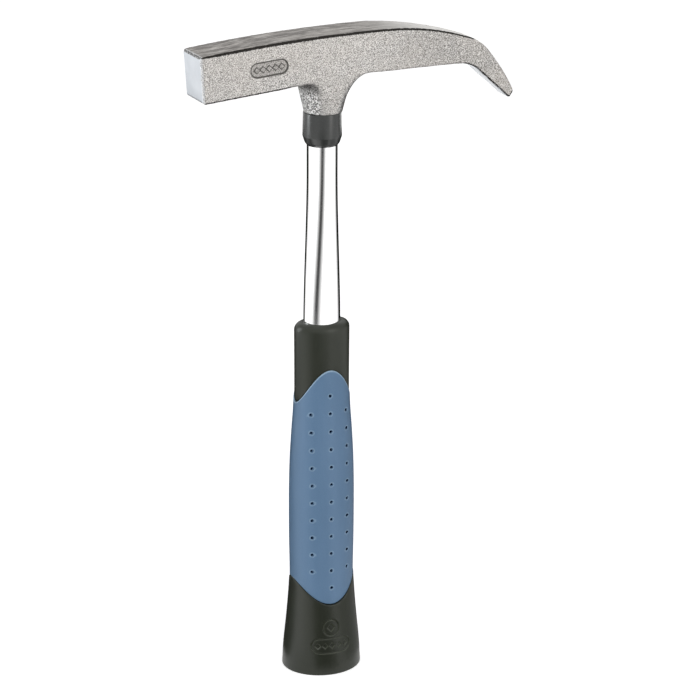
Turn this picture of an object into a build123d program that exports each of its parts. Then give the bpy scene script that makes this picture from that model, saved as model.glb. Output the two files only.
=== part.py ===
from build123d import *

import os
from math import cos, radians, sin, sqrt

# A brick hammer: a forged head on a steel tube, with a two-part moulded grip.
#
# Millimetres, +Z up. The handle's axis is Z and the origin is the centre of the flat butt.
# The head lies along X: the square striking face looks to -X and the curved blade ends at +X.
# Every piece is rigid, so each solid is written in the place that it has on the finished hammer.

# ---------------------------------------------------------------- driving dimensions
# Head
HEAD_WIDTH = 22.8            # across Y, from the striking face to the start of the blade
FACE_SIZE = 23.75            # height of the square striking face
FACE_CENTRE = (-69.0, 323.3)  # X, Z
FACE_TILT = 3.8              # degrees that the face leans towards the handle
FACE_CHAMFER = 1.05
CROWN_TOP = (24.0, 340.6)    # highest point of the head, where its top runs level
BROW_END = (79.5, 331.0)     # the top starts to turn down here
BEND_MIDDLE = (86.2, 327.2)
BACK_START = (91.3, 321.9)   # the blade's almost straight back starts here
BACK_MIDDLE = (98.8, 312.0)
BACK_END = (104.5, 302.1)
TIP_TOP = (104.9, 300.4)     # the blunt end of the blade
TIP_BOTTOM = (102.6, 297.3)
BLADE_HEEL = (79.7, 317.8)   # corner inside the bend of the blade
HEEL_RADIUS = 17.0
TIP_RADIUS = 0.8
BELLY = (22.0, 319.3)        # the two undersides would meet here, inside the neck
SHOULDER = (27.5, 11.4)      # X, Y: the blade starts to narrow
WAIST = (62.0, 6.8)
TIP_HALF_WIDTH = 5.0
PLAN_END = 106.0
SHOULDER_RADIUS = 60.0
WAIST_RADIUS = 200.0

# Neck of the head, which ends on the collar
NECK_END = 299.4
NECK_RADIUS = 9.65
NECK_SHIFT = 0.4             # the neck sits a little towards the blade
NECK_HALF_X = 11.3
POLL_SPRING = 311.5          # heights where the fillets under the poll and the blade start
POLL_FILLET = 6.0
BLADE_SPRING = 306.1
BLADE_FILLET = 13.5
NECK_TOP_HALF_Y = 11.35
ROUND_MARGIN = 0.05          # keeps a short flat between the rounded corners
CORNER_LOSS = 4.6            # how much tighter the corners are where the neck meets the head
NECK_STEPS = 4
FLARE_TURN = 6               # degrees of fillet between two sections

# Socket and the tube's head end
SOCKET_RADIUS = 6.75
SOCKET_END = 331.0
UNDERCUT_HEIGHT = 6.0
UNDERCUT = 0.4               # how far the tube's end is spread
CONE_LENGTH = 8.5

# Tube: round at the head, oval in the grip
TUBE_WALL = 1.5
TUBE_RADIUS = 7.75
OVAL_HALF_X = 9.8
OVAL_HALF_Y = 7.6
ROUND_FROM = 270.0
OVAL_BELOW = 185.0
TRANSITION_STEPS = 12
TUBE_BOTTOM = 14.0
PLUG_FLANGE = 2.0
PLUG_DEPTH = 10.0

# Collar
COLLAR_TOP_RADIUS = 9.76
COLLAR_RADIUS = 9.92
COLLAR_SHOULDER = 287.2
LIP_RADIUS = 8.75
LIP_TOP = 284.0
COLLAR_BOTTOM = 282.5

# Grip: height, half size along X, half size along Y
GRIP_TOP = 190.0
BUTT_HALF_X = 21.0
BUTT_HALF_Y = 19.4
CORE_SECTIONS = [
    (0.0, BUTT_HALF_X, BUTT_HALF_Y),
    (12.5, 20.4, 18.0),
    (25.0, 19.25, 16.3),
    (37.5, 18.25, 14.7),
    (50.0, 17.5, 13.5),
    (80.0, 17.0, 12.4),
    (110.0, 16.3, 11.7),
    (138.0, 14.95, 10.65),
    (152.0, 14.75, 10.45),
    (172.0, 14.75, 10.45),
    (GRIP_TOP, 14.85, 10.5),
]
SLEEVE_SECTIONS = [
    (32.0, 17.5, 14.3),
    (44.0, 17.2, 13.3),
    (56.0, 17.3, 12.85),
    (70.0, 17.6, 12.7),
    (85.0, 17.7, 12.7),
    (100.0, 17.65, 12.65),
    (115.0, 17.3, 12.4),
    (130.0, 16.45, 11.8),
    (145.0, 15.4, 10.95),
    (158.0, 15.0, 10.6),
    (172.0, 14.95, 10.6),
]
SLEEVE_THICKNESS = 2.0
GRIP_TOP_RADIUS = 4.0
BUTT_EDGE_RADIUS = 0.8

# The sleeve's two wavy ends are parabolas seen from the broad side
SLEEVE_TOP = 166.0
SLEEVE_TOP_FALL = 18.0       # from the broad side to the narrow side
SLEEVE_TOP_REACH = 15.0
SLEEVE_BOTTOM = 37.7
SLEEVE_BOTTOM_RISE = 13.4
SLEEVE_BOTTOM_REACH = 17.3
WAVE_WIDTH = 24.0            # half width of the shape that trims the sleeve

# Dimples in the sleeve, on both broad sides
DIMPLE_RADIUS = 0.85
DIMPLE_DEPTH = 1.1
DIMPLE_PITCH = 9.58
DIMPLE_LOWEST = 46.9
DIMPLE_ROWS = 12
DIMPLE_COLUMN = 9.9          # distance of the outer columns from the middle one

# Plain badges: a stadium on the head, a ring and a stadium on the butt
BADGE_LENGTH = 19.8
BADGE_HEIGHT = 7.3
BADGE_CENTRE = (-33.4, 326.5)
BADGE_TURN = 4.5
BADGE_DEPTH = 0.5
BADGE_MARKS = 5
BADGE_MARK_SIZE = 3.0
BADGE_MARK_PITCH = 3.3
MARK_RISE = 0.3
EMBLEM_X = -1.6
RING_HEIGHT = 25.7
RING_RADIUS = 4.6
PLATE_HEIGHT = 16.0
PLATE_LENGTH = 21.5
PLATE_WIDTH = 8.4
EMBLEM_LINE = 0.7
EMBLEM_DEPTH = 0.4
EMBLEM_MARK_SIZE = 3.4
EMBLEM_MARK_PITCH = 3.7


# ---------------------------------------------------------------- helpers
def oval(half_x, half_y, height):
    """A flat oval across the handle."""
    return Plane.XY.offset(height) * Ellipse(half_x, half_y)


def lofted_ovals(sections, grow=0.0):
    """A smooth solid through ovals given as height, half X and half Y."""
    return loft([oval(half_x + grow, half_y + grow, height) for height, half_x, half_y in sections])


def half_sizes(sections, height):
    """Half X and half Y of a list of sections at one height."""
    for lower, upper in zip(sections, sections[1:]):
        if lower[0] <= height <= upper[0]:
            share = (height - lower[0]) / (upper[0] - lower[0])
            half_x = lower[1] + share * (upper[1] - lower[1])
            half_y = lower[2] + share * (upper[2] - lower[2])
            return half_x, half_y
    raise ValueError("height is outside the sections")


def fillet_reach(radius, rise):
    """How far a fillet of this radius has spread at a height above its start."""
    rise = min(max(rise, 0.0), radius)
    return radius - sqrt(radius**2 - rise**2)


def diamonds(count, size, pitch):
    """A row of plain diamonds, centred on the origin of the XY plane."""
    row = Sketch()
    for index in range(count):
        place = (index - (count - 1) / 2) * pitch
        row += Pos(place, 0) * Rot(0, 0, 45) * Rectangle(size / sqrt(2), size / sqrt(2))
    return row


# ---------------------------------------------------------------- head
def head_side():
    """The head's outline seen from the side, without its neck."""
    half = FACE_SIZE / 2
    lean = radians(FACE_TILT)
    face_top = (FACE_CENTRE[0] - half * sin(lean), FACE_CENTRE[1] + half * cos(lean))
    face_bottom = (FACE_CENTRE[0] + half * sin(lean), FACE_CENTRE[1] - half * cos(lean))
    crown = TangentArc(CROWN_TOP, face_top, tangent=(-1, 0))
    brow = TangentArc(CROWN_TOP, BROW_END, tangent=(1, 0))
    bend = ThreePointArc(BROW_END, BEND_MIDDLE, BACK_START)
    back = ThreePointArc(BACK_START, BACK_MIDDLE, BACK_END)
    underside = FilletPolyline(
        BACK_END,
        TIP_TOP,
        TIP_BOTTOM,
        BLADE_HEEL,
        BELLY,
        face_bottom,
        radius=[TIP_RADIUS, TIP_RADIUS, HEEL_RADIUS, TIP_RADIUS],
    )
    face = Line(face_bottom, face_top)
    return make_face([face, crown, brow, bend, back, underside])


def head_plan():
    """The head seen from above: full width, then narrowing into the blade."""
    start = 2 * FACE_CENTRE[0]
    half = FilletPolyline(
        (start, SHOULDER[1]),
        SHOULDER,
        WAIST,
        (PLAN_END, TIP_HALF_WIDTH),
        radius=[SHOULDER_RADIUS, WAIST_RADIUS],
    )
    other = mirror(half, Plane.XZ)
    near = Line((start, SHOULDER[1]), (start, -SHOULDER[1]))
    far = Line((PLAN_END, TIP_HALF_WIDTH), (PLAN_END, -TIP_HALF_WIDTH))
    return make_face([half, other, near, far])


def neck():
    """The neck: round at the collar, square and flared where it runs into the head."""
    heights = [NECK_END + (BLADE_SPRING - NECK_END) * step / NECK_STEPS for step in range(NECK_STEPS)]
    heights += [BLADE_SPRING + BLADE_FILLET * sin(radians(turn)) for turn in range(0, 91, FLARE_TURN)]
    sections = []
    for height in heights:
        share = (height - NECK_END) / (BLADE_SPRING + BLADE_FILLET - NECK_END)
        climb = min(1.0, (height - NECK_END) / (POLL_SPRING - NECK_END))
        side = NECK_RADIUS + (NECK_HALF_X - NECK_RADIUS) * climb
        left = side + fillet_reach(POLL_FILLET, height - POLL_SPRING)
        right = side + fillet_reach(BLADE_FILLET, height - BLADE_SPRING)
        half_y = NECK_RADIUS + (NECK_TOP_HALF_Y - NECK_RADIUS) * sin(radians(90 * share))
        corner = NECK_RADIUS - ROUND_MARGIN - CORNER_LOSS * share
        block = RectangleRounded(left + right, 2 * half_y, corner)
        sections.append(Plane.XY.offset(height) * Pos(NECK_SHIFT + (right - left) / 2, 0) * block)
    return loft(sections, ruled=True)


def socket():
    """The blind socket in the neck, wider at its end so that the spread tube can't pull out."""
    narrow = SOCKET_END - UNDERCUT_HEIGHT
    outline = Polyline(
        (0, NECK_END),
        (SOCKET_RADIUS, NECK_END),
        (SOCKET_RADIUS, narrow),
        (SOCKET_RADIUS + UNDERCUT, SOCKET_END),
        (0, SOCKET_END),
        close=True,
    )
    return revolve(Plane.XZ * make_face(outline), Axis.Z)


def head_badge():
    """A shallow stadium pocket with a row of plain diamonds standing in it."""
    side = Plane(
        origin=(BADGE_CENTRE[0], -HEAD_WIDTH / 2, BADGE_CENTRE[1]),
        x_dir=(cos(radians(BADGE_TURN)), 0, sin(radians(BADGE_TURN))),
        z_dir=(0, -1, 0),
    )
    pocket = extrude(side * SlotOverall(BADGE_LENGTH, BADGE_HEIGHT), -BADGE_DEPTH)
    marks = side.offset(-BADGE_DEPTH) * diamonds(BADGE_MARKS, BADGE_MARK_SIZE, BADGE_MARK_PITCH)
    return pocket - extrude(marks, MARK_RISE)


def hammer_head():
    blank = extrude(Plane.XZ * head_side(), HEAD_WIDTH / 2, both=True)
    blank = blank & extrude(head_plan(), 2 * CROWN_TOP[1])
    face = blank.faces().sort_by(Axis.X)[0]
    blank = chamfer(face.edges(), FACE_CHAMFER)
    return blank + neck() - socket() - head_badge()


# ---------------------------------------------------------------- tube and what closes its ends
def tube_shape(wall):
    """The outside of the tube, or with a wall its inside."""
    sections = []
    for step in range(TRANSITION_STEPS + 1):
        share = step / TRANSITION_STEPS
        blend = share * share * (3 - 2 * share)
        half_x = OVAL_HALF_X + (TUBE_RADIUS - OVAL_HALF_X) * blend
        half_y = OVAL_HALF_Y + (TUBE_RADIUS - OVAL_HALF_Y) * blend
        sections.append((OVAL_BELOW + (ROUND_FROM - OVAL_BELOW) * share, half_x, half_y))
    middle = lofted_ovals(sections, -wall)
    lower = extrude(oval(OVAL_HALF_X - wall, OVAL_HALF_Y - wall, TUBE_BOTTOM), OVAL_BELOW - TUBE_BOTTOM)
    round_length = NECK_END - wall - ROUND_FROM
    upper = extrude(oval(TUBE_RADIUS - wall, TUBE_RADIUS - wall, ROUND_FROM), round_length)
    return lower + middle + upper


def tube_spigot(wall):
    """The narrower end that fills the socket, spread at its top, or with a wall its inside."""
    inner = SOCKET_RADIUS - wall
    outline = Polyline(
        (0, NECK_END - 2 * wall),
        (inner, NECK_END - 2 * wall),
        (inner, SOCKET_END - UNDERCUT_HEIGHT),
        (inner + UNDERCUT, SOCKET_END),
        (0, SOCKET_END),
        close=True,
    )
    return revolve(Plane.XZ * make_face(outline), Axis.Z)


def handle_tube():
    outside = tube_shape(0) + tube_spigot(0)
    inside = tube_shape(TUBE_WALL) + tube_spigot(TUBE_WALL)
    return outside - inside


def spreader_cone():
    """A steel cone driven into the tube's end, which it holds spread in the socket."""
    bore = SOCKET_RADIUS - TUBE_WALL
    narrow = SOCKET_END - UNDERCUT_HEIGHT
    outline = Polyline(
        (0, SOCKET_END - CONE_LENGTH),
        (bore - UNDERCUT, SOCKET_END - CONE_LENGTH),
        (bore, narrow),
        (bore + UNDERCUT, SOCKET_END),
        (0, SOCKET_END),
        close=True,
    )
    return revolve(Plane.XZ * make_face(outline), Axis.Z)


def tube_end_plug():
    """A flanged plug that closes the tube's lower end inside the grip."""
    flange = extrude(oval(OVAL_HALF_X, OVAL_HALF_Y, TUBE_BOTTOM - PLUG_FLANGE), PLUG_FLANGE)
    shank = extrude(oval(OVAL_HALF_X - TUBE_WALL, OVAL_HALF_Y - TUBE_WALL, TUBE_BOTTOM), PLUG_DEPTH)
    return flange + shank


def neck_collar():
    """The plastic collar under the neck, with a small rounded lip on the tube."""
    outer = Polyline(
        (TUBE_RADIUS, NECK_END),
        (COLLAR_TOP_RADIUS - 0.4, NECK_END),
        (COLLAR_TOP_RADIUS, NECK_END - 0.4),
        (COLLAR_RADIUS, COLLAR_SHOULDER),
        (LIP_RADIUS, LIP_TOP),
    )
    lip = TangentArc((LIP_RADIUS, LIP_TOP), (TUBE_RADIUS, COLLAR_BOTTOM), tangent=(-0.1, -1))
    bore = Line((TUBE_RADIUS, COLLAR_BOTTOM), (TUBE_RADIUS, NECK_END))
    return revolve(Plane.XZ * make_face([outer, lip, bore]), Axis.Z)


# ---------------------------------------------------------------- grip
def sleeve_band():
    """The space between the sleeve's two wavy ends, right through the grip."""
    top_edge = SLEEVE_TOP - SLEEVE_TOP_FALL * (WAVE_WIDTH / SLEEVE_TOP_REACH) ** 2
    bottom_edge = SLEEVE_BOTTOM + SLEEVE_BOTTOM_RISE * (WAVE_WIDTH / SLEEVE_BOTTOM_REACH) ** 2
    top = Bezier((-WAVE_WIDTH, top_edge), (0, 2 * SLEEVE_TOP - top_edge), (WAVE_WIDTH, top_edge))
    bottom = Bezier(
        (-WAVE_WIDTH, bottom_edge),
        (0, 2 * SLEEVE_BOTTOM - bottom_edge),
        (WAVE_WIDTH, bottom_edge),
    )
    left = Line((-WAVE_WIDTH, top_edge), (-WAVE_WIDTH, bottom_edge))
    right = Line((WAVE_WIDTH, top_edge), (WAVE_WIDTH, bottom_edge))
    return extrude(Plane.XZ * make_face([top, right, bottom, left]), BUTT_HALF_X, both=True)


def dimples():
    """The rows of small pits on both broad sides of the sleeve."""
    pits = []
    for row in range(DIMPLE_ROWS):
        height = DIMPLE_LOWEST + row * DIMPLE_PITCH
        half_x, half_y = half_sizes(SLEEVE_SECTIONS, height)
        outer_columns = [] if row in (0, DIMPLE_ROWS - 1) else [-DIMPLE_COLUMN, DIMPLE_COLUMN]
        for column in [0.0] + outer_columns:
            skin = half_y * sqrt(1 - (column / half_x) ** 2)
            for side in (-1, 1):
                floor = Plane(origin=(column, side * (skin - DIMPLE_DEPTH), height), z_dir=(0, side, 0))
                pits.append(extrude(floor * Circle(DIMPLE_RADIUS), 3 * DIMPLE_DEPTH))
    return pits


def emblem_tool(envelope):
    """Thin lines cut into the butt: a ring round a diamond, and a stadium round a row of them."""
    ring = Circle(RING_RADIUS) - Circle(RING_RADIUS - EMBLEM_LINE) + diamonds(1, RING_RADIUS, 0)
    plate = SlotOverall(PLATE_LENGTH, PLATE_WIDTH)
    plate -= SlotOverall(PLATE_LENGTH - 2 * EMBLEM_LINE, PLATE_WIDTH - 2 * EMBLEM_LINE)
    plate += diamonds(BADGE_MARKS, EMBLEM_MARK_SIZE, EMBLEM_MARK_PITCH)
    front = Plane(origin=(EMBLEM_X, -BUTT_HALF_Y - 1, 0), x_dir=(1, 0, 0), z_dir=(0, -1, 0))
    pattern = front * (Pos(0, RING_HEIGHT) * ring + Pos(0, PLATE_HEIGHT) * plate)
    return extrude(pattern, -BUTT_HALF_Y) - envelope


def grip_core():
    """The black moulding on the tube, with a pocket all round for the sleeve."""
    body = lofted_ovals(CORE_SECTIONS)
    top_edge = body.edges().group_by(Axis.Z)[-1]
    body = fillet(top_edge, GRIP_TOP_RADIUS)
    butt_edge = body.edges().group_by(Axis.Z)[0]
    body = fillet(butt_edge, BUTT_EDGE_RADIUS)
    pocket = sleeve_band() - lofted_ovals(SLEEVE_SECTIONS, -SLEEVE_THICKNESS)
    plug = extrude(oval(OVAL_HALF_X, OVAL_HALF_Y, TUBE_BOTTOM - PLUG_FLANGE), PLUG_FLANGE)
    emblems = emblem_tool(lofted_ovals(CORE_SECTIONS, -EMBLEM_DEPTH))
    return body - pocket - tube_shape(0) - plug - emblems


def grip_sleeve():
    """The soft sleeve, moulded into the core's pocket."""
    skin = lofted_ovals(SLEEVE_SECTIONS) - lofted_ovals(SLEEVE_SECTIONS, -SLEEVE_THICKNESS)
    return (skin & sleeve_band()) - dimples()


# ---------------------------------------------------------------- one file for each piece
PIECES = {
    "hammer_head": hammer_head,
    "handle_tube": handle_tube,
    "spreader_cone": spreader_cone,
    "neck_collar": neck_collar,
    "grip_core": grip_core,
    "grip_sleeve": grip_sleeve,
    "tube_end_plug": tube_end_plug,
}

os.makedirs("parts", exist_ok=True)
for name, make in PIECES.items():
    piece = make()
    export_step(piece, f"parts/{name}.step")
    print(name, round(piece.volume, 1))
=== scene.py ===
import math

import bmesh
import bpy
import numpy as np
from mathutils import Matrix, Vector
from mathutils.bvhtree import BVHTree
from mathutils.kdtree import KDTree


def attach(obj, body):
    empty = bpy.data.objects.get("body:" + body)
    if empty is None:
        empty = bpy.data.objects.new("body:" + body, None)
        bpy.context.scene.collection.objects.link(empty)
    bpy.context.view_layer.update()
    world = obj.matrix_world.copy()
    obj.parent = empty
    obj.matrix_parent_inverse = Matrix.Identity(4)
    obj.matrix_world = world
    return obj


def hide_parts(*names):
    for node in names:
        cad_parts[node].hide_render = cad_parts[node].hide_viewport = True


# A brick hammer standing on its butt: the striking face looks to -X and the blade points to +X.
# Blender units are metres. Sizes are named in millimetres and turned into metres by MM.
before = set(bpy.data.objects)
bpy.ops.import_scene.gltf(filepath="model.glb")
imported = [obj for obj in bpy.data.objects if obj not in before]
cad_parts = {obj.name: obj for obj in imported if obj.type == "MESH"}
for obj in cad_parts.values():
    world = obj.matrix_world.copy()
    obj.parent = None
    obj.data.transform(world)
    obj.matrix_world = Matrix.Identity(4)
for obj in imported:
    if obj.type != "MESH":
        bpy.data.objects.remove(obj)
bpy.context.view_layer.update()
MM = 0.001

# ---------------------------------------------------------------- sizes, in millimetres
# Tube: half sizes along X and Y, and heights
TUBE_WALL = 1.5
TUBE_ROUND = (7.75, 7.75)
TUBE_OVAL = (9.8, 7.6)
OVAL_BELOW = 185.0
ROUND_FROM = 270.0
TUBE_BOTTOM = 14.0
NECK_END = 299.4                       # underside of the neck, where the tube steps in
TUBE_SEEN = (180.0, 284.0, 1.5)        # the stretch that changes shape, and its ring spacing
TUBE_HIDDEN = ([60.0, 120.0, 170.0], [290.0])
SPIGOT_RADIUS = 6.75
SPIGOT_TOP = 331.0
SPREAD = 0.4
SPREAD_HEIGHT = 6.0

# Collar: radius, height, and how round that corner is
COLLAR_PROFILE = [
    (7.75, 299.4, 0.0),
    (9.70, 299.4, 0.35),
    (9.92, 287.2, 0.25),
    (8.85, 283.9, 0.45),
    (7.75, 282.5, 0.0),
]

# Grip: height, half size along X, half size along Y
CORE_SECTIONS = [
    (0.0, 21.0, 19.4),
    (12.5, 20.4, 18.0),
    (25.0, 19.25, 16.3),
    (37.5, 18.25, 14.7),
    (50.0, 17.5, 13.5),
    (80.0, 17.0, 12.4),
    (110.0, 16.3, 11.7),
    (138.0, 14.95, 10.65),
    (152.0, 14.75, 10.45),
    (172.0, 14.75, 10.45),
    (190.0, 14.85, 10.5),
]
SLEEVE_SECTIONS = [
    (32.0, 17.5, 14.3),
    (44.0, 17.2, 13.3),
    (56.0, 17.3, 12.85),
    (70.0, 17.6, 12.7),
    (85.0, 17.7, 12.7),
    (100.0, 17.65, 12.65),
    (115.0, 17.3, 12.4),
    (130.0, 16.45, 11.8),
    (145.0, 15.4, 10.95),
    (158.0, 15.0, 10.6),
    (172.0, 14.95, 10.6),
]
SLEEVE_THICKNESS = 2.0
RIM_RADIUS = 4.0
BUTT_EDGE_RADIUS = 0.8
BUTT_INSETS = (12.0, 4.0)              # rings on the flat butt, from its edge inwards
BORE_BOTTOM = 12.0
BORE_RINGS = (150.0, 60.0)
SEAM_RADIUS = 0.35
SEAM_GAP = 0.35                        # open seam under the sleeve's lower end
SLEEVE_TOP = (166.0, -18.0, 15.0)      # height on the axis, rise, and the X that it is reached at
SLEEVE_BOTTOM = (37.7, 13.4, 17.3)
SLEEVE_ROWS = 390                      # enough rings for the dimples to come out round
SLEEVE_HALVES = (16.5, 12.0)           # its usual half sizes, to tell a point's angle from

# Dimples and emblems
DIMPLE_RADIUS = 0.85
DIMPLE_FLOOR = 0.35                    # radius of a dimple's flat bottom
DIMPLE_DARK = 0.72                     # faces nearer than this to its middle get the painted shade
DIMPLE_DEPTH = 1.1
DIMPLE_PITCH = 9.58
DIMPLE_LOWEST = 46.9
DIMPLE_ROWS = 12
DIMPLE_COLUMN = 9.9
DIMPLED = [(44, 61), (83, 97), (119, 136), (224, 241), (263, 277), (299, 316)]     # degrees round the grip
EMBLEM_X = -1.6
EMBLEM_DEPTH = 0.5
EMBLEM_LINE = 0.7
EMBLEM_BAND = (10.8, 31.0, 0.2)        # heights of its lowest and highest ring, and their spacing
ABOVE_EMBLEM = (32.0, 33.5)
RING_HEIGHT = 25.7
RING_RADIUS = 4.6
RING_MARK = (1.9, 2.5)                 # half size of the diamond's floor and of its rim
PLATE_HEIGHT = 16.0
PLATE_LENGTH = 21.5
PLATE_WIDTH = 8.4
MARKS = 5
MARK_HALF = 1.7
MARK_PITCH = 3.7

# Head
VOXEL = 0.5
SNAP = 0.2                             # how far the skin is pulled back onto the CAD surface
SHARP = math.radians(30)
BADGE_CENTRE = (-33.4, 326.5)          # X and height
BADGE_REACH = (11.5, 5.6)              # half size of the finer mesh round it
BADGE_TURN = math.radians(4.5)
BADGE_SIZE = (19.8, 7.3)
BADGE_MARK_HALF = 1.5
BADGE_MARK_PITCH = 3.3
BADGE_DARK = 0.85                      # how strong its dark lines are
BADGE_FLOOR = 0.30                     # how dark its sunk floor is beside them
NEAR_SIDE = -8.0                       # Y: the badge and emblems are on the side in front of this
NECK_TOP = 318.5
NECK_REACH = 24.0                      # how far along X the neck is smoothed
NECK_SKIN = 22.0                       # how far along X its pitted skin and painted shade go
NECK_BORE = 8.0                        # the socket is nearer to the axis than this
FACE_END = -67.0                       # X: the ground face and its bevel are beyond this
TOP_FROM = 325.0                       # height that the ground top starts at
BACK_FROM, INNER_FROM = 80.0, 75.0     # X that the blade's ground back and inner side start at
SCALE_WIDTH = ([-69, -60, -20, 40, 78, 86], [0.9, 1.4, 1.5, 1.1, 0.8, 0.0])     # X, and its width there
FAINT_BELOW = ([20, 26, 74, 80], [1.0, 0.35, 0.35, 1.0])    # X, and how strong the lower line is there
FAR = 1.0e6


# ---------------------------------------------------------------- camera
CAMERA_TURN = 25.13                    # degrees to the left of the broad side
CAMERA_LIFT = 18.66                    # degrees above the horizon
CAMERA_ROLL = 0.30
CAMERA_DISTANCE = 1.46177              # metres, as is the target
CAMERA_TARGET = (0.01484, 0, 0.17293)
CAMERA_LENS = 147.13


def photo_camera():
    """Stands front left and above, with a long lens; gives the direction from its target to it."""
    turn, lift, roll = (math.radians(angle) for angle in (CAMERA_TURN, CAMERA_LIFT, CAMERA_ROLL))
    target = Vector(CAMERA_TARGET)
    away = Vector((-math.sin(turn) * math.cos(lift), -math.cos(turn) * math.cos(lift), math.sin(lift)))
    right = (-away).cross(Vector((0, 0, 1))).normalized()
    up = right.cross(-away)
    rolled_right = right * math.cos(roll) + up * math.sin(roll)
    rolled_up = up * math.cos(roll) - right * math.sin(roll)
    data = bpy.data.cameras.new("camera")
    data.sensor_width = 36
    data.lens = CAMERA_LENS
    data.clip_start = 0.05
    data.clip_end = 50
    camera = bpy.data.objects.new("camera", data)
    bpy.context.scene.collection.objects.link(camera)
    place = Matrix((rolled_right, rolled_up, away)).transposed().to_4x4()
    place.translation = target + away * CAMERA_DISTANCE
    camera.matrix_world = place
    bpy.context.scene.camera = camera
    return away


# ---------------------------------------------------------------- node helpers
def make_material(name, **settings):
    """A material and its node tree; settings are constants on the Principled shader."""
    material = bpy.data.materials.new(name)
    material.use_nodes = True
    shader = material.node_tree.nodes["Principled BSDF"]
    for socket, value in settings.items():
        shader.inputs[socket.replace("_", " ")].default_value = value
    return material, material.node_tree, shader


def add(tree, kind, inputs=None, **settings):
    """A node with its settings; an input is either a constant or another node's socket."""
    node = tree.nodes.new(kind)
    for key, value in settings.items():
        setattr(node, key, value)
    for key, value in (inputs or {}).items():
        if isinstance(value, bpy.types.NodeSocket):
            tree.links.new(value, node.inputs[key])
        else:
            node.inputs[key].default_value = value
    return node


def place_of(tree, stretch=(1, 1, 1)):
    """Object coordinates in metres, stretched along the axes."""
    coordinates = add(tree, "ShaderNodeTexCoord")
    mapping = add(tree, "ShaderNodeMapping", {"Vector": coordinates.outputs["Object"], "Scale": stretch})
    return mapping.outputs["Vector"]


def noise(tree, place, scale, detail=2.0, roughness=0.5):
    node = add(tree, "ShaderNodeTexNoise", {"Vector": place, "Scale": scale, "Detail": detail,
                                            "Roughness": roughness})
    return node.outputs["Fac"]


def attribute(tree, name):
    return add(tree, "ShaderNodeAttribute", attribute_name=name).outputs["Fac"]


def ramp(tree, value, low, high, to_low=0.0, to_high=1.0):
    """A clamped straight line from one range to another."""
    node = add(tree, "ShaderNodeMapRange", {"Value": value, "From Min": low, "From Max": high,
                                            "To Min": to_low, "To Max": to_high})
    return node.outputs["Result"]


def math_node(tree, operation, first, second):
    node = add(tree, "ShaderNodeMath", {0: first, 1: second}, operation=operation)
    return node.outputs["Value"]


def mix(tree, share, first, second):
    """Mixes two colours."""
    node = add(tree, "ShaderNodeMix", data_type="RGBA")
    for index, value in ((0, share), (6, first), (7, second)):
        if isinstance(value, bpy.types.NodeSocket):
            tree.links.new(value, node.inputs[index])
        elif index == 0:
            node.inputs[index].default_value = value
        else:
            node.inputs[index].default_value = (*value, 1)
    return node.outputs[2]


def bump(tree, height, strength, distance, normal=None):
    inputs = {"Height": height, "Strength": strength, "Distance": distance}
    if normal is not None:
        inputs["Normal"] = normal
    return add(tree, "ShaderNodeBump", inputs).outputs["Normal"]


# ---------------------------------------------------------------- materials
# Linear colours; a pair runs from the dark to the light of a pattern
STEEL = {
    "blasted": ((0.135, 0.13, 0.122), (0.72, 0.70, 0.68)),
    "pitted": ((0.055, 0.053, 0.05), (0.78, 0.77, 0.76)),
    "ground_dark": ((0.15, 0.137, 0.127), (0.42, 0.395, 0.37)),
    "ground_light": ((0.44, 0.42, 0.40), (0.76, 0.75, 0.73)),
    # the face's bluish tint is painted cool light on bright ground steel
    "face": ((0.52, 0.55, 0.59), (0.66, 0.69, 0.73)),
}
WARM_PATCH = (0.55, 0.50, 0.45)
NECK_SHADE = (0.05, 0.047, 0.043)
BADGE_SHADE = (0.045, 0.042, 0.038)
SCRATCH = (0.07, 0.062, 0.055)
CHATTER_DARK = (0.05, 0.045, 0.04)
CHATTER_LIGHT = (0.66, 0.64, 0.61)
SCALE_AND_EDGE_SHADE = (0.018, 0.016, 0.014)
CHROME = ((0.90, 0.90, 0.90), (0.95, 0.95, 0.945))
TURNED_STEEL = ((0.38, 0.38, 0.38), (0.62, 0.61, 0.60))
COLLAR_BLACK = ((0.018, 0.019, 0.018), (0.026, 0.028, 0.027))
GRIP_BLACK = ((0.011, 0.0135, 0.0075), (0.017, 0.020, 0.012))
PLUG_GREY = ((0.10, 0.10, 0.10), (0.14, 0.14, 0.14))
SLEEVE_BLUE = ((0.072, 0.148, 0.255), (0.096, 0.180, 0.300))
SLEEVE_SPECK = (0.17, 0.27, 0.40)
SLEEVE_RIM_HIGHLIGHT = (0.26, 0.38, 0.50)
DIMPLE_SHADE_BLUE = ((0.002, 0.007, 0.020), (0.004, 0.012, 0.034))
# Scales of the noise patterns, in cycles per metre
FINE_GRAIN, COARSE_GRAIN, PATCHES = 2300, 1300, 45
SCRATCHES, STREAKS, CHATTER = 1600, 260, 700
PLASTIC_SPARK, RUBBER_SPARK = 3200, 2600


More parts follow.
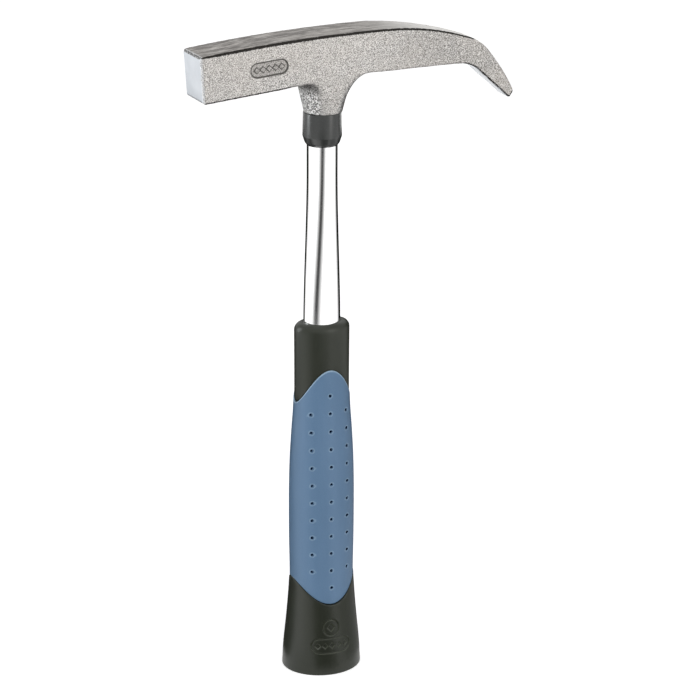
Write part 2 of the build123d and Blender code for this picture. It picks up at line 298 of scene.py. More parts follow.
def forged_steel():
    """Blasted grain on the sides, a ground top, a bright face, and dark scale with painted shade along the
    edges.
    """
    material, tree, shader = make_material("forged_steel", Metallic=0.82)
    place = place_of(tree)
    along = place_of(tree, (0.10, 1, 1))
    grain = noise(tree, place, FINE_GRAIN, 2.0, 0.6)
    coarse = noise(tree, place, COARSE_GRAIN, 2.0, 0.6)
    patches = noise(tree, place, PATCHES, 3.0, 0.6)
    scratches = noise(tree, along, SCRATCHES, 3.0, 0.65)
    streaks = noise(tree, along, STREAKS, 3.0, 0.6)
    chatter = noise(tree, place_of(tree, (0.16, 1, 1)), CHATTER, 4.0, 0.7)

    # Blasted skin, with painted shade that darkens it a little towards the blade, pitted on the neck, and
    # painted shade on the neck under the poll and down its blade end
    darker = math_node(tree, "SUBTRACT", grain, attribute(tree, "blade"))
    blasted = mix(tree, ramp(tree, darker, 0.40, 0.60), *STEEL["blasted"])
    blasted = mix(tree, ramp(tree, patches, 0.35, 0.70, 0.0, 0.22), blasted, WARM_PATCH)
    pitted = mix(tree, ramp(tree, coarse, 0.42, 0.58), *STEEL["pitted"])
    skin = mix(tree, attribute(tree, "shade"), blasted, pitted)
    skin = mix(tree, attribute(tree, "neck_shade"), skin, NECK_SHADE)
    skin = mix(tree, attribute(tree, "mark"), skin, BADGE_SHADE)

    # Ground top: dark and marked over the poll, light over the blade
    dark = mix(tree, ramp(tree, streaks, 0.35, 0.65), *STEEL["ground_dark"])
    dark = mix(tree, ramp(tree, scratches, 0.48, 0.60, 0.0, 0.70), dark, SCRATCH)
    dark = mix(tree, ramp(tree, chatter, 0.50, 0.64, 0.0, 0.70), dark, CHATTER_DARK)
    dark = mix(tree, ramp(tree, chatter, 0.47, 0.34, 0.0, 0.45), dark, CHATTER_LIGHT)
    light = mix(tree, ramp(tree, scratches, 0.30, 0.65), *STEEL["ground_light"])
    ground = mix(tree, attribute(tree, "bright"), dark, light)
    colour = mix(tree, attribute(tree, "ground"), skin, ground)
    # Bright ground face, with a bluish tint of painted cool light
    face = mix(tree, ramp(tree, patches, 0.3, 0.7), *STEEL["face"])
    colour = mix(tree, attribute(tree, "face"), colour, face)

    # Forging scale and painted shade along the edges, with a ragged border
    ragged = math_node(tree, "ADD", attribute(tree, "scale"), ramp(tree, coarse, 0.3, 0.7, -0.25, 0.25))
    colour = mix(tree, ramp(tree, ragged, 0.35, 0.65), colour, SCALE_AND_EDGE_SHADE)
    tree.links.new(colour, shader.inputs["Base Color"])

    rough = ramp(tree, grain, 0.3, 0.7, 0.42, 0.60)
    rough = ramp(tree, attribute(tree, "face"), 0, 1, rough, 0.30)
    tree.links.new(rough, shader.inputs["Roughness"])
    grained = math_node(tree, "SUBTRACT", 1.0, attribute(tree, "smooth"))
    relief = math_node(tree, "MULTIPLY", grain, grained)
    lines = math_node(tree, "MULTIPLY", scratches, attribute(tree, "ground"))
    normal = bump(tree, relief, 0.55, 0.00035)
    normal = bump(tree, lines, 0.35, 0.00015, normal)
    tree.links.new(normal, shader.inputs["Normal"])
    return material


def polished_chrome():
    """Bright plate with faint polishing marks along the tube."""
    material, tree, shader = make_material("polished_chrome", Metallic=1.0)
    lengthwise = place_of(tree, (1, 1, 0.04))
    haze = noise(tree, place_of(tree), 30, 3.0)
    marks = noise(tree, lengthwise, 1800, 2.0)
    tree.links.new(mix(tree, haze, *CHROME), shader.inputs["Base Color"])
    tree.links.new(ramp(tree, marks, 0.3, 0.8, 0.07, 0.13), shader.inputs["Roughness"])
    tree.links.new(bump(tree, marks, 0.05, 0.00002), shader.inputs["Normal"])
    return material


def machined_steel():
    """Turned steel: fine rings across the axis."""
    material, tree, shader = make_material("machined_steel", Metallic=1.0)
    rings = noise(tree, place_of(tree, (0.1, 0.1, 1)), 3000, 2.0)
    tree.links.new(mix(tree, rings, *TURNED_STEEL), shader.inputs["Base Color"])
    tree.links.new(ramp(tree, rings, 0.3, 0.7, 0.25, 0.40), shader.inputs["Roughness"])
    tree.links.new(bump(tree, rings, 0.3, 0.0001), shader.inputs["Normal"])
    return material


def moulded_plastic(name, shades, roughness, gloss=0.4):
    """Satin moulded plastic with faint flow marks and a fine spark-eroded texture."""
    material, tree, shader = make_material(name, Specular_IOR_Level=gloss)
    flow = noise(tree, place_of(tree, (1, 1, 0.25)), 60, 4.0, 0.6)
    spark = noise(tree, place_of(tree), PLASTIC_SPARK, 2.0, 0.6)
    speck, lighter_flanks = (tuple(times * part for part in shades[1]) for times in (2.2, 2.8))
    colour = mix(tree, ramp(tree, flow, 0.3, 0.7), *shades)
    colour = mix(tree, ramp(tree, spark, 0.35, 0.75, 0.0, 0.18), colour, speck)
    # lighter halfway down the emblems' flanks
    colour = mix(tree, attribute(tree, "lighter_flanks"), colour, lighter_flanks)
    tree.links.new(colour, shader.inputs["Base Color"])
    rough = math_node(tree, "ADD", ramp(tree, spark, 0.3, 0.7, -0.05, 0.05), roughness)
    tree.links.new(rough, shader.inputs["Roughness"])
    tree.links.new(bump(tree, spark, 0.25, 0.00008), shader.inputs["Normal"])
    return material


def soft_rubber():
    """Blue soft grip: matt, a little mottled, with painted highlights along its rolled rim and round its
    dimples.
    """
    material, tree, shader = make_material("soft_rubber", Specular_IOR_Level=0.45)
    flow = noise(tree, place_of(tree, (1, 1, 0.15)), 55, 4.0, 0.6)
    spark = noise(tree, place_of(tree), RUBBER_SPARK, 2.0, 0.6)
    colour = mix(tree, ramp(tree, flow, 0.3, 0.7), *SLEEVE_BLUE)
    colour = mix(tree, ramp(tree, spark, 0.4, 0.8, 0.0, 0.15), colour, SLEEVE_SPECK)
    colour = mix(tree, attribute(tree, "rim"), colour, SLEEVE_RIM_HIGHLIGHT)
    tree.links.new(colour, shader.inputs["Base Color"])
    tree.links.new(ramp(tree, spark, 0.3, 0.7, 0.40, 0.50), shader.inputs["Roughness"])
    tree.links.new(bump(tree, spark, 0.22, 0.0001), shader.inputs["Normal"])
    return material


def shaded_dimple_rubber():
    """The dull bottoms of the dimples, darkened with painted shade."""
    material, tree, shader = make_material("shaded_dimple_rubber", Roughness=0.9, Specular_IOR_Level=0.05)
    spark = noise(tree, place_of(tree), RUBBER_SPARK, 2.0, 0.6)
    tree.links.new(mix(tree, spark, *DIMPLE_SHADE_BLUE), shader.inputs["Base Color"])
    return material


# ---------------------------------------------------------------- mesh helpers
def make_piece(name, corners, faces, material):
    """A smooth-shaded object from points in millimetres, with its faces turned outwards."""
    mesh = bpy.data.meshes.new(name)
    mesh.from_pydata((np.asarray(corners) * MM).tolist(), [], faces)
    tool = bmesh.new()
    tool.from_mesh(mesh)
    bmesh.ops.remove_doubles(tool, verts=tool.verts, dist=1.0e-7)
    bmesh.ops.recalc_face_normals(tool, faces=tool.faces)
    if tool.calc_volume(signed=True) < 0:
        bmesh.ops.reverse_faces(tool, faces=tool.faces)
    tool.to_mesh(mesh)
    tool.free()
    mesh.shade_smooth()
    mesh.materials.append(material)
    piece = bpy.data.objects.new(name, mesh)
    bpy.context.scene.collection.objects.link(piece)
    return piece


def loft_rings(name, rings, material, closed=True):
    """Joins rings of points, one above another; open lofts are closed at both ends by their middles."""
    rings = np.asarray(rings)
    count, around = rings.shape[:2]
    corners = list(rings.reshape(-1, 3))
    faces = []
    for lower in range(count if closed else count - 1):
        upper = (lower + 1) % count
        for step in range(around):
            after = (step + 1) % around
            faces.append((lower * around + step, lower * around + after,
                          upper * around + after, upper * around + step))
    if not closed:
        for ring in (0, count - 1):
            corners.append(rings[ring].mean(axis=0))
            for step in range(around):
                after = (step + 1) % around
                faces.append((ring * around + step, ring * around + after, len(corners) - 1))
    return make_piece(name, corners, faces, material)


def store(piece, name, values):
    """Writes one value for each vertex as an attribute that a material reads."""
    layer = piece.data.attributes.new(name, "FLOAT", "POINT")
    layer.data.foreach_set("value", np.asarray(values, np.float32))


def places(piece):
    """The vertices in millimetres."""
    corners = np.zeros(len(piece.data.vertices) * 3)
    piece.data.vertices.foreach_get("co", corners)
    return corners.reshape(-1, 3) / MM


def smooth_step(value, low, high):
    share = np.clip((value - low) / (high - low), 0, 1)
    return share * share * (3 - 2 * share)


def angles(spacing, dense=(), dense_spacing=1.0):
    """Angles round the handle in radians, closer together in the dense stretches."""
    marks = set(np.arange(0, 360, spacing).round(4))
    for low, high in dense:
        marks = {mark for mark in marks if not low - spacing / 2 < mark < high + spacing / 2}
        marks |= set(np.arange(low, high + dense_spacing / 2, dense_spacing).round(4))
    return np.radians(sorted(marks))


def smooth_sections(sections, height, column):
    """A smooth curve through one column of the sections."""
    heights = np.array([row[0] for row in sections])
    values = np.array([row[column] for row in sections])
    slopes = np.gradient(values, heights)
    height = np.clip(height, heights[0], heights[-1])
    index = np.clip(np.searchsorted(heights, height) - 1, 0, len(heights) - 2)
    span = heights[index + 1] - heights[index]
    t = (height - heights[index]) / span
    start, end = values[index], values[index + 1]
    first, last = slopes[index] * span, slopes[index + 1] * span
    return ((2 * t**3 - 3 * t**2 + 1) * start + (t**3 - 2 * t**2 + t) * first
            + (3 * t**2 - 2 * t**3) * end + (t**3 - t**2) * last)


def oval(turn, half_x, half_y, height):
    """A ring of points; its half sizes and height may change round the ring."""
    return np.stack([half_x * np.cos(turn), half_y * np.sin(turn), height + 0 * turn], axis=1)


def section_ring(sections, turn, height, inset=0.0):
    """A ring on the skin of the sections; height and inset may change round the ring."""
    half_x = smooth_sections(sections, height, 1) - inset
    half_y = smooth_sections(sections, height, 2) - inset
    return oval(turn, half_x, half_y, height)


def lip(lean, radius=SEAM_RADIUS):
    """Where a rounded lip is at a lean: how far along from its outermost ring, and how far in."""
    return radius * (1 - math.sin(lean)), radius * (1 - math.cos(lean))


def wave(edge, sections, turn):
    """The height of one of the sleeve's wavy ends round the grip."""
    middle, rise, reach = edge
    across = smooth_sections(sections, middle + rise / 2, 1) * np.cos(turn)
    return middle + rise * (across / reach) ** 2


def round_corners(profile, steps=6):
    """A profile of (radius, height, rounding) corners as points, with arcs at its corners."""
    points = []
    for index, (radius, height, rounding) in enumerate(profile):
        corner = np.array([radius, height])
        if rounding == 0:
            points.append(corner)
            continue
        before = np.array(profile[index - 1][:2]) - corner
        after = np.array(profile[index + 1][:2]) - corner
        start = corner + before / np.linalg.norm(before) * rounding
        end = corner + after / np.linalg.norm(after) * rounding
        for step in range(steps + 1):
            t = step / steps
            points.append((1 - t) ** 2 * start + 2 * t * (1 - t) * corner + t**2 * end)
    return points


# ---------------------------------------------------------------- tube and collar
def tube_halves(height):
    """Half the tube's size along X and along Y at a height."""
    share = smooth_step(height, OVAL_BELOW, ROUND_FROM)
    return tuple(low + (high - low) * share for low, high in zip(TUBE_OVAL, TUBE_ROUND))


def tube_piece(material):
    """The tube: oval in the grip, round at the head, with its narrow spread end in the head."""
    turn = angles(2.5)
    below, above = TUBE_HIDDEN
    heights = np.concatenate([[TUBE_BOTTOM], below, np.arange(*TUBE_SEEN), above, [NECK_END]])
    outside = [oval(turn, *tube_halves(z), z) for z in heights]
    inside = [oval(turn, *(half - TUBE_WALL for half in tube_halves(z)), min(z, NECK_END - TUBE_WALL))
              for z in heights]
    spigot = [(SPIGOT_RADIUS, NECK_END), (SPIGOT_RADIUS, SPIGOT_TOP - SPREAD_HEIGHT),
              (SPIGOT_RADIUS + SPREAD, SPIGOT_TOP)]
    outside += [oval(turn, radius, radius, z) for radius, z in spigot]
    bore = [(radius - TUBE_WALL, z) for radius, z in spigot]
    bore[0] = (bore[0][0], NECK_END - TUBE_WALL)
    inside += [oval(turn, radius, radius, z) for radius, z in bore]
    return loft_rings("steel_tube", outside + inside[::-1], material)


def collar_piece(material):
    """The plastic collar between the tube and the head."""
    turn = angles(3)
    rings = [oval(turn, radius, radius, height) for radius, height in round_corners(COLLAR_PROFILE)]
    return loft_rings("collar", rings, material)


# ---------------------------------------------------------------- grip
def line_depth(distance):
    """How deep a moulded line is at a distance from its middle, from 0 to 1."""
    return 1 - smooth_step(np.abs(distance), EMBLEM_LINE * 0.25, EMBLEM_LINE * 0.65)


def emblem_depth(x, z):
    """A ring round a diamond, above a stadium round a row of diamonds, from 0 to 1."""
    across = x - EMBLEM_X
    ring = line_depth(np.hypot(across, z - RING_HEIGHT) - RING_RADIUS + EMBLEM_LINE / 2)
    lozenge = 1 - smooth_step(np.abs(across) + np.abs(z - RING_HEIGHT), *RING_MARK)
    straight = (PLATE_LENGTH - PLATE_WIDTH) / 2
    edge = np.hypot(np.maximum(np.abs(across) - straight, 0), z - PLATE_HEIGHT) - PLATE_WIDTH / 2
    depth = np.maximum(np.maximum(ring, lozenge), line_depth(edge + EMBLEM_LINE / 2))
    for index in range(MARKS):
        middle = (index - (MARKS - 1) / 2) * MARK_PITCH
        mark = np.abs(across - middle) + np.abs(z - PLATE_HEIGHT)
        depth = np.maximum(depth, 1 - smooth_step(mark, MARK_HALF - 0.4, MARK_HALF + 0.1))
    return depth


def core_piece(material):
    """The black moulding: flared butt, pocket for the sleeve, and a rounded rim on the tube."""
    turn = angles(4, [(230, 308)], 0.5)
    low = wave(SLEEVE_BOTTOM, CORE_SECTIONS, turn)
    high = wave(SLEEVE_TOP, CORE_SECTIONS, turn)

    def skin(height, inset=0.0):
        return section_ring(CORE_SECTIONS, turn, height + 0 * turn, inset + 0 * turn)

    rings = [skin(0.0, inset) for inset in BUTT_INSETS]
    for lean in np.radians(np.linspace(90, 0, 6)):
        rings.append(skin(*lip(lean, BUTT_EDGE_RADIUS)))
    emblem_rows = np.arange(*EMBLEM_BAND)
    for height in np.concatenate([np.arange(2, 10, 1.5), emblem_rows, ABOVE_EMBLEM]):
        ring = skin(height)
        if emblem_rows[0] <= height <= emblem_rows[-1]:
            depth = EMBLEM_DEPTH * emblem_depth(ring[:, 0], height) * (ring[:, 1] < 0)
            ring = skin(height, depth)
        rings.append(ring)
    for share in np.linspace(0.15, 1, 8):
        rings.append(skin(ABOVE_EMBLEM[-1] + (low - SEAM_RADIUS - ABOVE_EMBLEM[-1]) * share))
    for along, inset in map(lip, np.radians([25, 50, 75, 90])):
        rings.append(skin(low - along, inset))
    for share in np.linspace(0, 1, 24):
        height = low + (high - low) * share
        rings.append(section_ring(SLEEVE_SECTIONS, turn, height, SLEEVE_THICKNESS))
    for along, inset in map(lip, np.radians([90, 75, 50, 25, 0])):
        rings.append(skin(high + along, inset))
    rim_start = CORE_SECTIONS[-1][0] - RIM_RADIUS
    for share in np.linspace(0.08, 1, 14):
        height = high + SEAM_RADIUS
        rings.append(skin(height + (rim_start - height) * share))
    bore = oval(turn, *tube_halves(CORE_SECTIONS[-1][0]), 0.0)[:, :2]
    outer = skin(rim_start)[:, :2]
    room = np.linalg.norm(outer, axis=1) - np.linalg.norm(bore, axis=1)
    full_lean = np.arccos(np.clip(1 - room / RIM_RADIUS, 0, 1))
    for share in np.linspace(0.1, 1, 10):
        lean = full_lean * share
        rings.append(skin(rim_start + RIM_RADIUS * np.sin(lean), RIM_RADIUS * (1 - np.cos(lean))))
    top = rings[-1][:, 2]
    for height in (top, *BORE_RINGS, BORE_BOTTOM):
        rings.append(oval(turn, *tube_halves(height), height))
    piece = loft_rings("grip_body", rings, material, closed=False)
    corners = places(piece)
    on_emblem = (corners[:, 1] < NEAR_SIDE) & (corners[:, 2] < EMBLEM_BAND[1])
    depth = emblem_depth(corners[:, 0], corners[:, 2]) * on_emblem
    store(piece, "lighter_flanks", 4 * depth * (1 - depth))          # 1 halfway down an emblem's flanks
    return piece


def from_dimple(corners):
    """How far each point is from the nearest dimple's middle, seen from the broad side."""
    nearest = np.full(len(corners), FAR)
    for row in range(DIMPLE_ROWS):
        columns = [0.0] if row in (0, DIMPLE_ROWS - 1) else [-DIMPLE_COLUMN, 0.0, DIMPLE_COLUMN]
        for column in columns:
            distance = np.hypot(corners[:, 0] - column, corners[:, 2] - DIMPLE_LOWEST - row * DIMPLE_PITCH)
            nearest = np.minimum(nearest, distance)
    return nearest


def sleeve_piece(material):
    """The soft sleeve: rolled wavy ends and rows of dimples on both broad sides."""
    turn = angles(4, DIMPLED, 1.1)
    low = wave(SLEEVE_BOTTOM, SLEEVE_SECTIONS, turn) + SEAM_GAP
    high = wave(SLEEVE_TOP, SLEEVE_SECTIONS, turn)
    rings = []

    def skin(height, inset=0.0):
        return section_ring(SLEEVE_SECTIONS, turn, height + 0 * turn, inset + 0 * turn)

    for along, inset in map(lip, np.radians([90, 65, 40, 15])):
        rings.append(skin(low + along, inset))
    start, end = low + SEAM_RADIUS, high - SEAM_RADIUS
    for share in np.linspace(0, 1, SLEEVE_ROWS):
        height = start + (end - start) * share
        away = from_dimple(skin(height))
        depth = DIMPLE_DEPTH * (1 - smooth_step(away, DIMPLE_FLOOR, DIMPLE_RADIUS + 0.1))
        rings.append(skin(height, depth))
    for along, inset in map(lip, np.radians([15, 40, 65, 90])):
        rings.append(skin(high - along, inset))
    for share in np.linspace(1, 0, 20):
        rings.append(skin(low + (high - low) * share, SLEEVE_THICKNESS))
    piece = loft_rings("soft_sleeve", rings, material)
    corners = places(piece)
    piece.data.materials.append(shaded_dimple_rubber())
    middles = np.array([face.center for face in piece.data.polygons]) / MM
    for face, distance in zip(piece.data.polygons, from_dimple(middles)):
        face.material_index = int(distance < DIMPLE_DARK)
    half_x, half_y = SLEEVE_HALVES
    around = np.arctan2(corners[:, 1] / half_y, corners[:, 0] / half_x)
    to_top = wave(SLEEVE_TOP, SLEEVE_SECTIONS, around) - corners[:, 2]
    to_low = corners[:, 2] - wave(SLEEVE_BOTTOM, SLEEVE_SECTIONS, around)
    # Painted highlights: a light line along the rolled ends and a fainter ring round each dimple
    edge_highlight = 1 - smooth_step(np.minimum(to_top, to_low * 2), 0.3, 0.9)
    dimple_highlight = 1 - smooth_step(np.abs(from_dimple(corners) - DIMPLE_RADIUS - 0.35), 0.1, 0.4)
    store(piece, "rim", np.maximum(edge_highlight, 0.4 * dimple_highlight))
    return piece


# ---------------------------------------------------------------- head
def remeshed(node, voxel):
    """A copy of a CAD node with an even mesh and slightly rounded edges, and the welded CAD mesh."""
    tool = bmesh.new()
    tool.from_mesh(node.data)
    bmesh.ops.remove_doubles(tool, verts=tool.verts, dist=1.0e-6)
    mesh = bpy.data.meshes.new("forged_head")
    tool.to_mesh(mesh)
    tool.free()
    welded = bpy.data.objects.new("welded", mesh)
    bpy.context.scene.collection.objects.link(welded)
    modifier = welded.modifiers.new("even", "REMESH")
    modifier.mode = "VOXEL"
    modifier.voxel_size = voxel * MM
    bpy.context.view_layer.update()
    evaluated = welded.evaluated_get(bpy.context.evaluated_depsgraph_get())
    result = bpy.data.meshes.new_from_object(evaluated)
    bpy.data.objects.remove(welded)
    return result, mesh


def head_piece(material):
    """The forged head, with the marks that its material needs on each vertex."""
    mesh, welded = remeshed(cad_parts["hammer_head"], VOXEL)
    surface = BVHTree.FromPolygons([v.co for v in welded.vertices], [p.vertices for p in welded.polygons])
    tool = bmesh.new()
    tool.from_mesh(mesh)

    def in_badge(point):
        return (abs(point.x / MM - BADGE_CENTRE[0]) < BADGE_REACH[0]
                and abs(point.z / MM - BADGE_CENTRE[1]) < BADGE_REACH[1] and point.y < NEAR_SIDE * MM)

    picked = {edge for face in tool.faces if in_badge(face.calc_center_median()) for edge in face.edges}
    bmesh.ops.subdivide_edges(tool, edges=list(picked), cuts=3, use_grid_fill=True)
    for vert in tool.verts:
        if in_badge(vert.co):
            hit = surface.ray_cast(Vector((vert.co.x, -0.05, vert.co.z)), Vector((0, 1, 0)))[0]
            if hit is not None:
                vert.co = hit
    neck = [v for v in tool.verts
            if NECK_END + 0.6 < v.co.z / MM < NECK_TOP and abs(v.co.x / MM) < NECK_REACH
            and math.hypot(v.co.x, v.co.y) > NECK_BORE * MM]
    for _ in range(10):
        bmesh.ops.smooth_vert(tool, verts=neck, factor=0.5, use_axis_x=True, use_axis_y=True,
                              use_axis_z=True)
    outside = [v for v in tool.verts if not in_badge(v.co)]
    for _ in range(2):
        bmesh.ops.smooth_vert(tool, verts=outside, factor=0.4, use_axis_x=True, use_axis_y=True,
                              use_axis_z=True)
    smoothed = set(neck)
    for vert in outside:
        place, _, _, gap = surface.find_nearest(vert.co)
        if vert not in smoothed and gap < SNAP * MM:
            vert.co = vert.co.lerp(place, 1 - gap / (SNAP * MM))
    bmesh.ops.recalc_face_normals(tool, faces=tool.faces)
    tool.to_mesh(mesh)
    tool.free()
    mesh.shade_smooth()
    mesh.materials.clear()
    mesh.materials.append(material)
    mesh.name = "forged_head"
    piece = bpy.data.objects.new("forged_head", mesh)
    bpy.context.scene.collection.objects.link(piece)
    mark_head(piece, welded, surface)
    return piece


def edge_trees(welded):
    """Points along the sharp edges where a side meets the top and where it meets the underside."""
    tool = bmesh.new()
    tool.from_mesh(welded)
    lines = {"top": [], "under": []}
    for edge in tool.edges:
        if len(edge.link_faces) != 2 or edge.calc_face_angle(0) < SHARP:
            continue
        rim, flank = sorted((face.normal for face in edge.link_faces), key=lambda n: abs(n.y))
        start, end = edge.verts[0].co, edge.verts[1].co
        at_neck_end = start.z < 305 * MM and start.x < 30 * MM
        if abs(flank.y) < 0.8 or abs(rim.y) > 0.5 or at_neck_end:
            continue
        side = "top" if rim.z > 0.1 else "under"
        count = max(1, int((end - start).length / (0.5 * MM)))
        lines[side] += [start.lerp(end, step / count) for step in range(count + 1)]
    tool.free()
    trees = {}
    for side, points in lines.items():
        tree = KDTree(max(1, len(points)))
        for index, point in enumerate(points):
            tree.insert(point, index)
        tree.balance()
        trees[side] = tree
    return trees


def badge_lines(x, z):
    """How dark the badge is at a point: its outline and the outlines of its diamonds, from 0 to 1."""
    across, up = x - BADGE_CENTRE[0], z - BADGE_CENTRE[1]
    along = across * math.cos(BADGE_TURN) + up * math.sin(BADGE_TURN)
    rise = up * math.cos(BADGE_TURN) - across * math.sin(BADGE_TURN)
    length, width = BADGE_SIZE
    edge = np.hypot(np.maximum(np.abs(along) - (length - width) / 2, 0), rise) - width / 2
    outline = 1 - smooth_step(np.abs(edge + 0.1), 0.25, 0.65)
    floor = BADGE_FLOOR * (edge < 0)
    diamonds = np.zeros_like(along)
    for index in range(MARKS):
        middle = (index - (MARKS - 1) / 2) * BADGE_MARK_PITCH
        reach = (np.abs(along - middle) + np.abs(rise) - BADGE_MARK_HALF) / math.sqrt(2)
        diamonds = np.maximum(diamonds, 1 - smooth_step(np.abs(reach - 0.1), 0.12, 0.45))
    return BADGE_DARK * np.maximum(np.maximum(outline, diamonds), floor)


def mark_head(piece, welded, surface):
    """Stores what the steel's material needs on each vertex, read from the CAD surface next to it."""
    trees = edge_trees(welded)
    corners = places(piece)
    normals = np.zeros_like(corners)
    top_edge = np.zeros(len(corners))
    low_edge = np.zeros(len(corners))
    for index, corner in enumerate(corners):
        point = Vector(corner) * MM
        normals[index] = surface.find_nearest(point)[1]
        top_edge[index] = trees["top"].find(point)[2] / MM
        low_edge[index] = trees["under"].find(point)[2] / MM
    x, y, z = corners.T
    out_x, out_y, out_z = normals.T

    # What is ground: the top, the blade's back and inner side, and the face with its bevel
    on_side = np.abs(out_y) >= 0.5
    top = ~on_side & (out_z > 0.2) & (z > TOP_FROM)
    back = ~on_side & (out_x > 0.3) & (x > BACK_FROM)
    inner = ~on_side & (out_z < -0.3) & (x > INNER_FROM)
    face = (out_x < -0.9) & (x < FACE_END)
    bevel = (out_x < -0.5) & (x < FACE_END) & ~face
    ground = (top | back | inner) & ~face & ~bevel
    bright = np.maximum(smooth_step(x, 15, 60), inner)
    store(piece, "ground", ground * 1.0)
    store(piece, "bright", bright)
    store(piece, "face", face + 0.35 * bevel + 0.8 * inner)
    store(piece, "smooth", np.maximum(ground, face))
    # Painted shade: the blasted skin gets a little darker towards the blade
    store(piece, "blade", 0.035 * smooth_step(x, 15, 70))

    # The neck: pitted on its ends, with painted shade where it meets the poll and all down its blade end
    on_neck = (z < NECK_TOP) & (np.abs(x) < NECK_SKIN) & (out_z > -0.95)
    store(piece, "shade", on_neck * smooth_step(np.abs(out_x), 0.2, 0.6))
    under_poll = 0.75 * smooth_step(z, 308.5, 314.5) * smooth_step(-out_x, 0.1, 0.5)
    under_blade = 0.9 * smooth_step(out_x, 0.35, 0.7)
    store(piece, "neck_shade", on_neck * np.maximum(under_poll, under_blade))

    # Forging scale and painted shade: a line along the top edges, a faint one underneath, and the face's
    # upper rim
    width = np.interp(x, *SCALE_WIDTH)
    near = (on_side | (top_edge < 0.5)) * (1 - smooth_step(top_edge, width * 0.5, width * 1.5))
    beside_neck = np.abs(x - 2) > NECK_SKIN
    below = np.interp(x, *FAINT_BELOW) * (1 - smooth_step(low_edge, 0.6, 1.1)) * (on_side & beside_neck)
    rim = 0.55 * (top & (x < -68.9))
    badge = ((np.abs(x - BADGE_CENTRE[0]) < BADGE_REACH[0])
             & (np.abs(z - BADGE_CENTRE[1]) < BADGE_REACH[1]))
    lines = np.maximum(np.maximum(near * (width > 0), below), rim)
    store(piece, "scale", lines * ~badge)
    store(piece, "mark", badge_lines(x, z) * badge * (y < NEAR_SIDE))


# ---------------------------------------------------------------- studio
def even(glow):
    """The same brightness all over a card."""
    return lambda share: glow


def fading(start, middle=0.0):
    """Dark in a card's middle, and brighter from a share of the way to its sides, up to 1."""
    return lambda share: middle + (1 - middle) * smooth_step(share, start, 1.0)


# Cards and lamps are in metres, and in degrees round the handle from the camera's side.
# A card: name, direction, half its turn, profile of (distance, height, lean), and brightness
CARDS = [
    ("strip_card", 0, 26, [(0.42, 0.046, -16), (0.42, 0.20, 7.5)], fading(0.1, 0.06)),
    ("front_card", 18, 26, [(0.03, 0.001, 0), (0.42, 0.001, 0), (0.42, 0.045, 0)], even(0)),
    ("back_card", 180, 70, [(0.03, 0.001, 0), (0.36, 0.001, 0), (0.36, 0.205, 0)], fading(0.72)),
    ("upper_card", 150, 46, [(0.36, 0.205, 0), (0.36, 0.30, 0)], fading(0.72)),
    ("blade_card", 146, 24, [(0.12, 0.262, 0), (0.12, 0.32, 0)], even(1.6)),
    ("left_glow", -50, 15, [(0.05, 0.003, 0), (0.41, 0.003, 0), (0.41, 0.05, 0)], even(1.8)),
    ("left_card", -108, 32, [(0.03, 0.002, 0), (0.35, 0.002, 0), (0.35, 0.04, 0)], even(0.05)),
    ("right_card", 102, 42, [(0.03, 0.002, 0), (0.35, 0.002, 0), (0.35, 0.03, 0)], even(0.5)),
]
# Black flags that only diffuse light sees: they darken the grip's sides
FLAGS = [("side_flag", side * 108, 28, [(0.10, 0.05, 0), (0.10, 0.20, 0)], even(0)) for side in (-1, 1)]
# A lamp: name, direction, distance, height, size, watts, colour, and the rays that don't see it
LAMPS = [
    ("right_box", 54, 1.4, 0.50, (0.50, 1.2), 4.6, (1.0, 0.99, 0.97), "diffuse"),
    ("left_box", -86, 1.4, 0.50, (0.44, 1.2), 11.0, (0.93, 0.98, 1.0), "diffuse"),
    ("top_box", 0, 0.1, 1.8, (1.6, 1.6), 6.0, (1, 1, 1), None),
    ("front_box", 5, 1.4, 0.8, (0.8, 0.8), 7.2, (1, 1, 1), "glossy"),
]
SURROUND_DIFFUSE = 0.42                # the white surround is 1 for the camera and for reflections
FLOOR_REACH = 8.0
FLOOR_GLOW = 0.6


def studio(away):
    """A white room, soft lamps, and dark and bright cards that only reflections see."""
    world = bpy.data.worlds.new("studio")
    world.use_nodes = True
    tree = world.node_tree
    sky = tree.nodes["Background"]
    sky.inputs["Color"].default_value = (1, 1, 1, 1)
    rays = add(tree, "ShaderNodeLightPath")
    strength = ramp(tree, rays.outputs["Is Diffuse Ray"], 0, 1, 1.0, SURROUND_DIFFUSE)
    tree.links.new(strength, sky.inputs["Strength"])
    bpy.context.scene.world = world
    bpy.context.scene.view_settings.view_transform = "Standard"

    floor_mesh = bpy.data.meshes.new("floor")
    floor_corners = [(across * FLOOR_REACH, along * FLOOR_REACH, 0)
                     for across, along in ((-1, -1), (1, -1), (1, 1), (-1, 1))]
    floor_mesh.from_pydata(floor_corners, [], [(0, 1, 2, 3)])
    floor = bpy.data.objects.new("floor", floor_mesh)
    bpy.context.scene.collection.objects.link(floor)
    material, tree, shader = make_material("pale_floor", Roughness=0.9, Emission_Color=(1, 1, 1, 1),
                                           Emission_Strength=FLOOR_GLOW)
    tint = mix(tree, noise(tree, place_of(tree), 2.0), (0.93, 0.93, 0.93), (0.95, 0.95, 0.95))
    tree.links.new(tint, shader.inputs["Base Color"])
    floor_mesh.materials.append(material)

    facing = math.atan2(away.y, away.x)
    for name, heading, *shape in CARDS:
        card(name, facing + math.radians(heading), *shape)
    for name, heading, *shape in FLAGS:
        flag = card(name, facing + math.radians(heading), *shape)
        flag.visible_glossy = False
        flag.visible_diffuse = True
    for name, heading, *shape, unseen in LAMPS:
        light = lamp(name, facing + math.radians(heading), *shape)
        if unseen is not None:
            setattr(light, "visible_" + unseen, False)


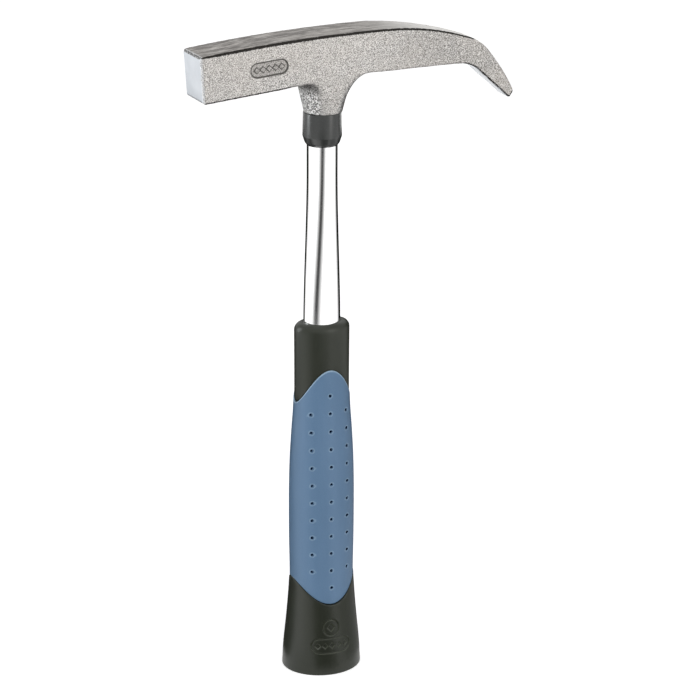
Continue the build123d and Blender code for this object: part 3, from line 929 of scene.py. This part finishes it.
def card(name, heading, half_turn, profile, glow):
    """A fan and wall round the handle that only reflections see.

    Its profile is distance, height and degrees of sideways lean, and its half turn is in degrees. Its
    brightness, glow, depends on the share of the way from its middle to its sides.
    """
    steps = 16
    rows = len(profile)
    corners, faces, glows = [], [], []
    for step in range(steps + 1):
        share = 2 * step / steps - 1
        turn = heading + math.radians(half_turn) * share
        for reach, height, lean in profile:
            leaning = turn + math.radians(lean)
            corners.append((reach * math.cos(leaning), reach * math.sin(leaning), height))
        glows += [glow(abs(share))] * rows
    for step in range(steps):
        for row in range(rows - 1):
            first = step * rows + row
            faces.append((first, first + rows, first + rows + 1, first + 1))
    mesh = bpy.data.meshes.new(name)
    mesh.from_pydata(corners, [], faces)
    material, tree, shader = make_material(name, Roughness=1.0, Specular_IOR_Level=0.0,
                                           Base_Color=(0, 0, 0, 1), Emission_Color=(1, 1, 1, 1))
    tree.links.new(attribute(tree, "glow"), shader.inputs["Emission Strength"])
    mesh.materials.append(material)
    wall = bpy.data.objects.new(name, mesh)
    store(wall, "glow", glows)
    bpy.context.scene.collection.objects.link(wall)
    wall.visible_camera = False
    wall.visible_diffuse = False
    wall.visible_shadow = False
    return wall


def lamp(name, heading, distance, height, size, power, colour):
    """A soft box that faces the middle of the hammer."""
    place = Vector((distance * math.cos(heading), distance * math.sin(heading), height))
    data = bpy.data.lights.new(name, "AREA")
    data.shape = "RECTANGLE"
    data.size, data.size_y = size
    data.energy = power
    data.color = colour
    light = bpy.data.objects.new(name, data)
    light.location = place
    light.rotation_euler = (Vector((0, 0, 0.2)) - place).to_track_quat("-Z", "Y").to_euler()
    bpy.context.scene.collection.objects.link(light)
    return light


# ---------------------------------------------------------------- the hammer
def stand_for(piece, node):
    """A new piece takes a CAD node's place."""
    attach(piece, "root")
    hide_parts(node)


def finish_node(node, material):
    """Gives a CAD node that stays a procedural material."""
    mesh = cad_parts[node].data
    mesh.materials.clear()
    mesh.materials.append(material)


studio(photo_camera())
stand_for(head_piece(forged_steel()), "hammer_head")
stand_for(tube_piece(polished_chrome()), "handle_tube")
collar_look = moulded_plastic("collar_plastic", COLLAR_BLACK, 0.23, gloss=0.5)
stand_for(collar_piece(collar_look), "neck_collar")
core_look = moulded_plastic("grip_black", GRIP_BLACK, 0.38)
stand_for(core_piece(core_look), "grip_core")
stand_for(sleeve_piece(soft_rubber()), "grip_sleeve")
finish_node("spreader_cone", machined_steel())
finish_node("tube_end_plug", moulded_plastic("plug_plastic", PLUG_GREY, 0.5))
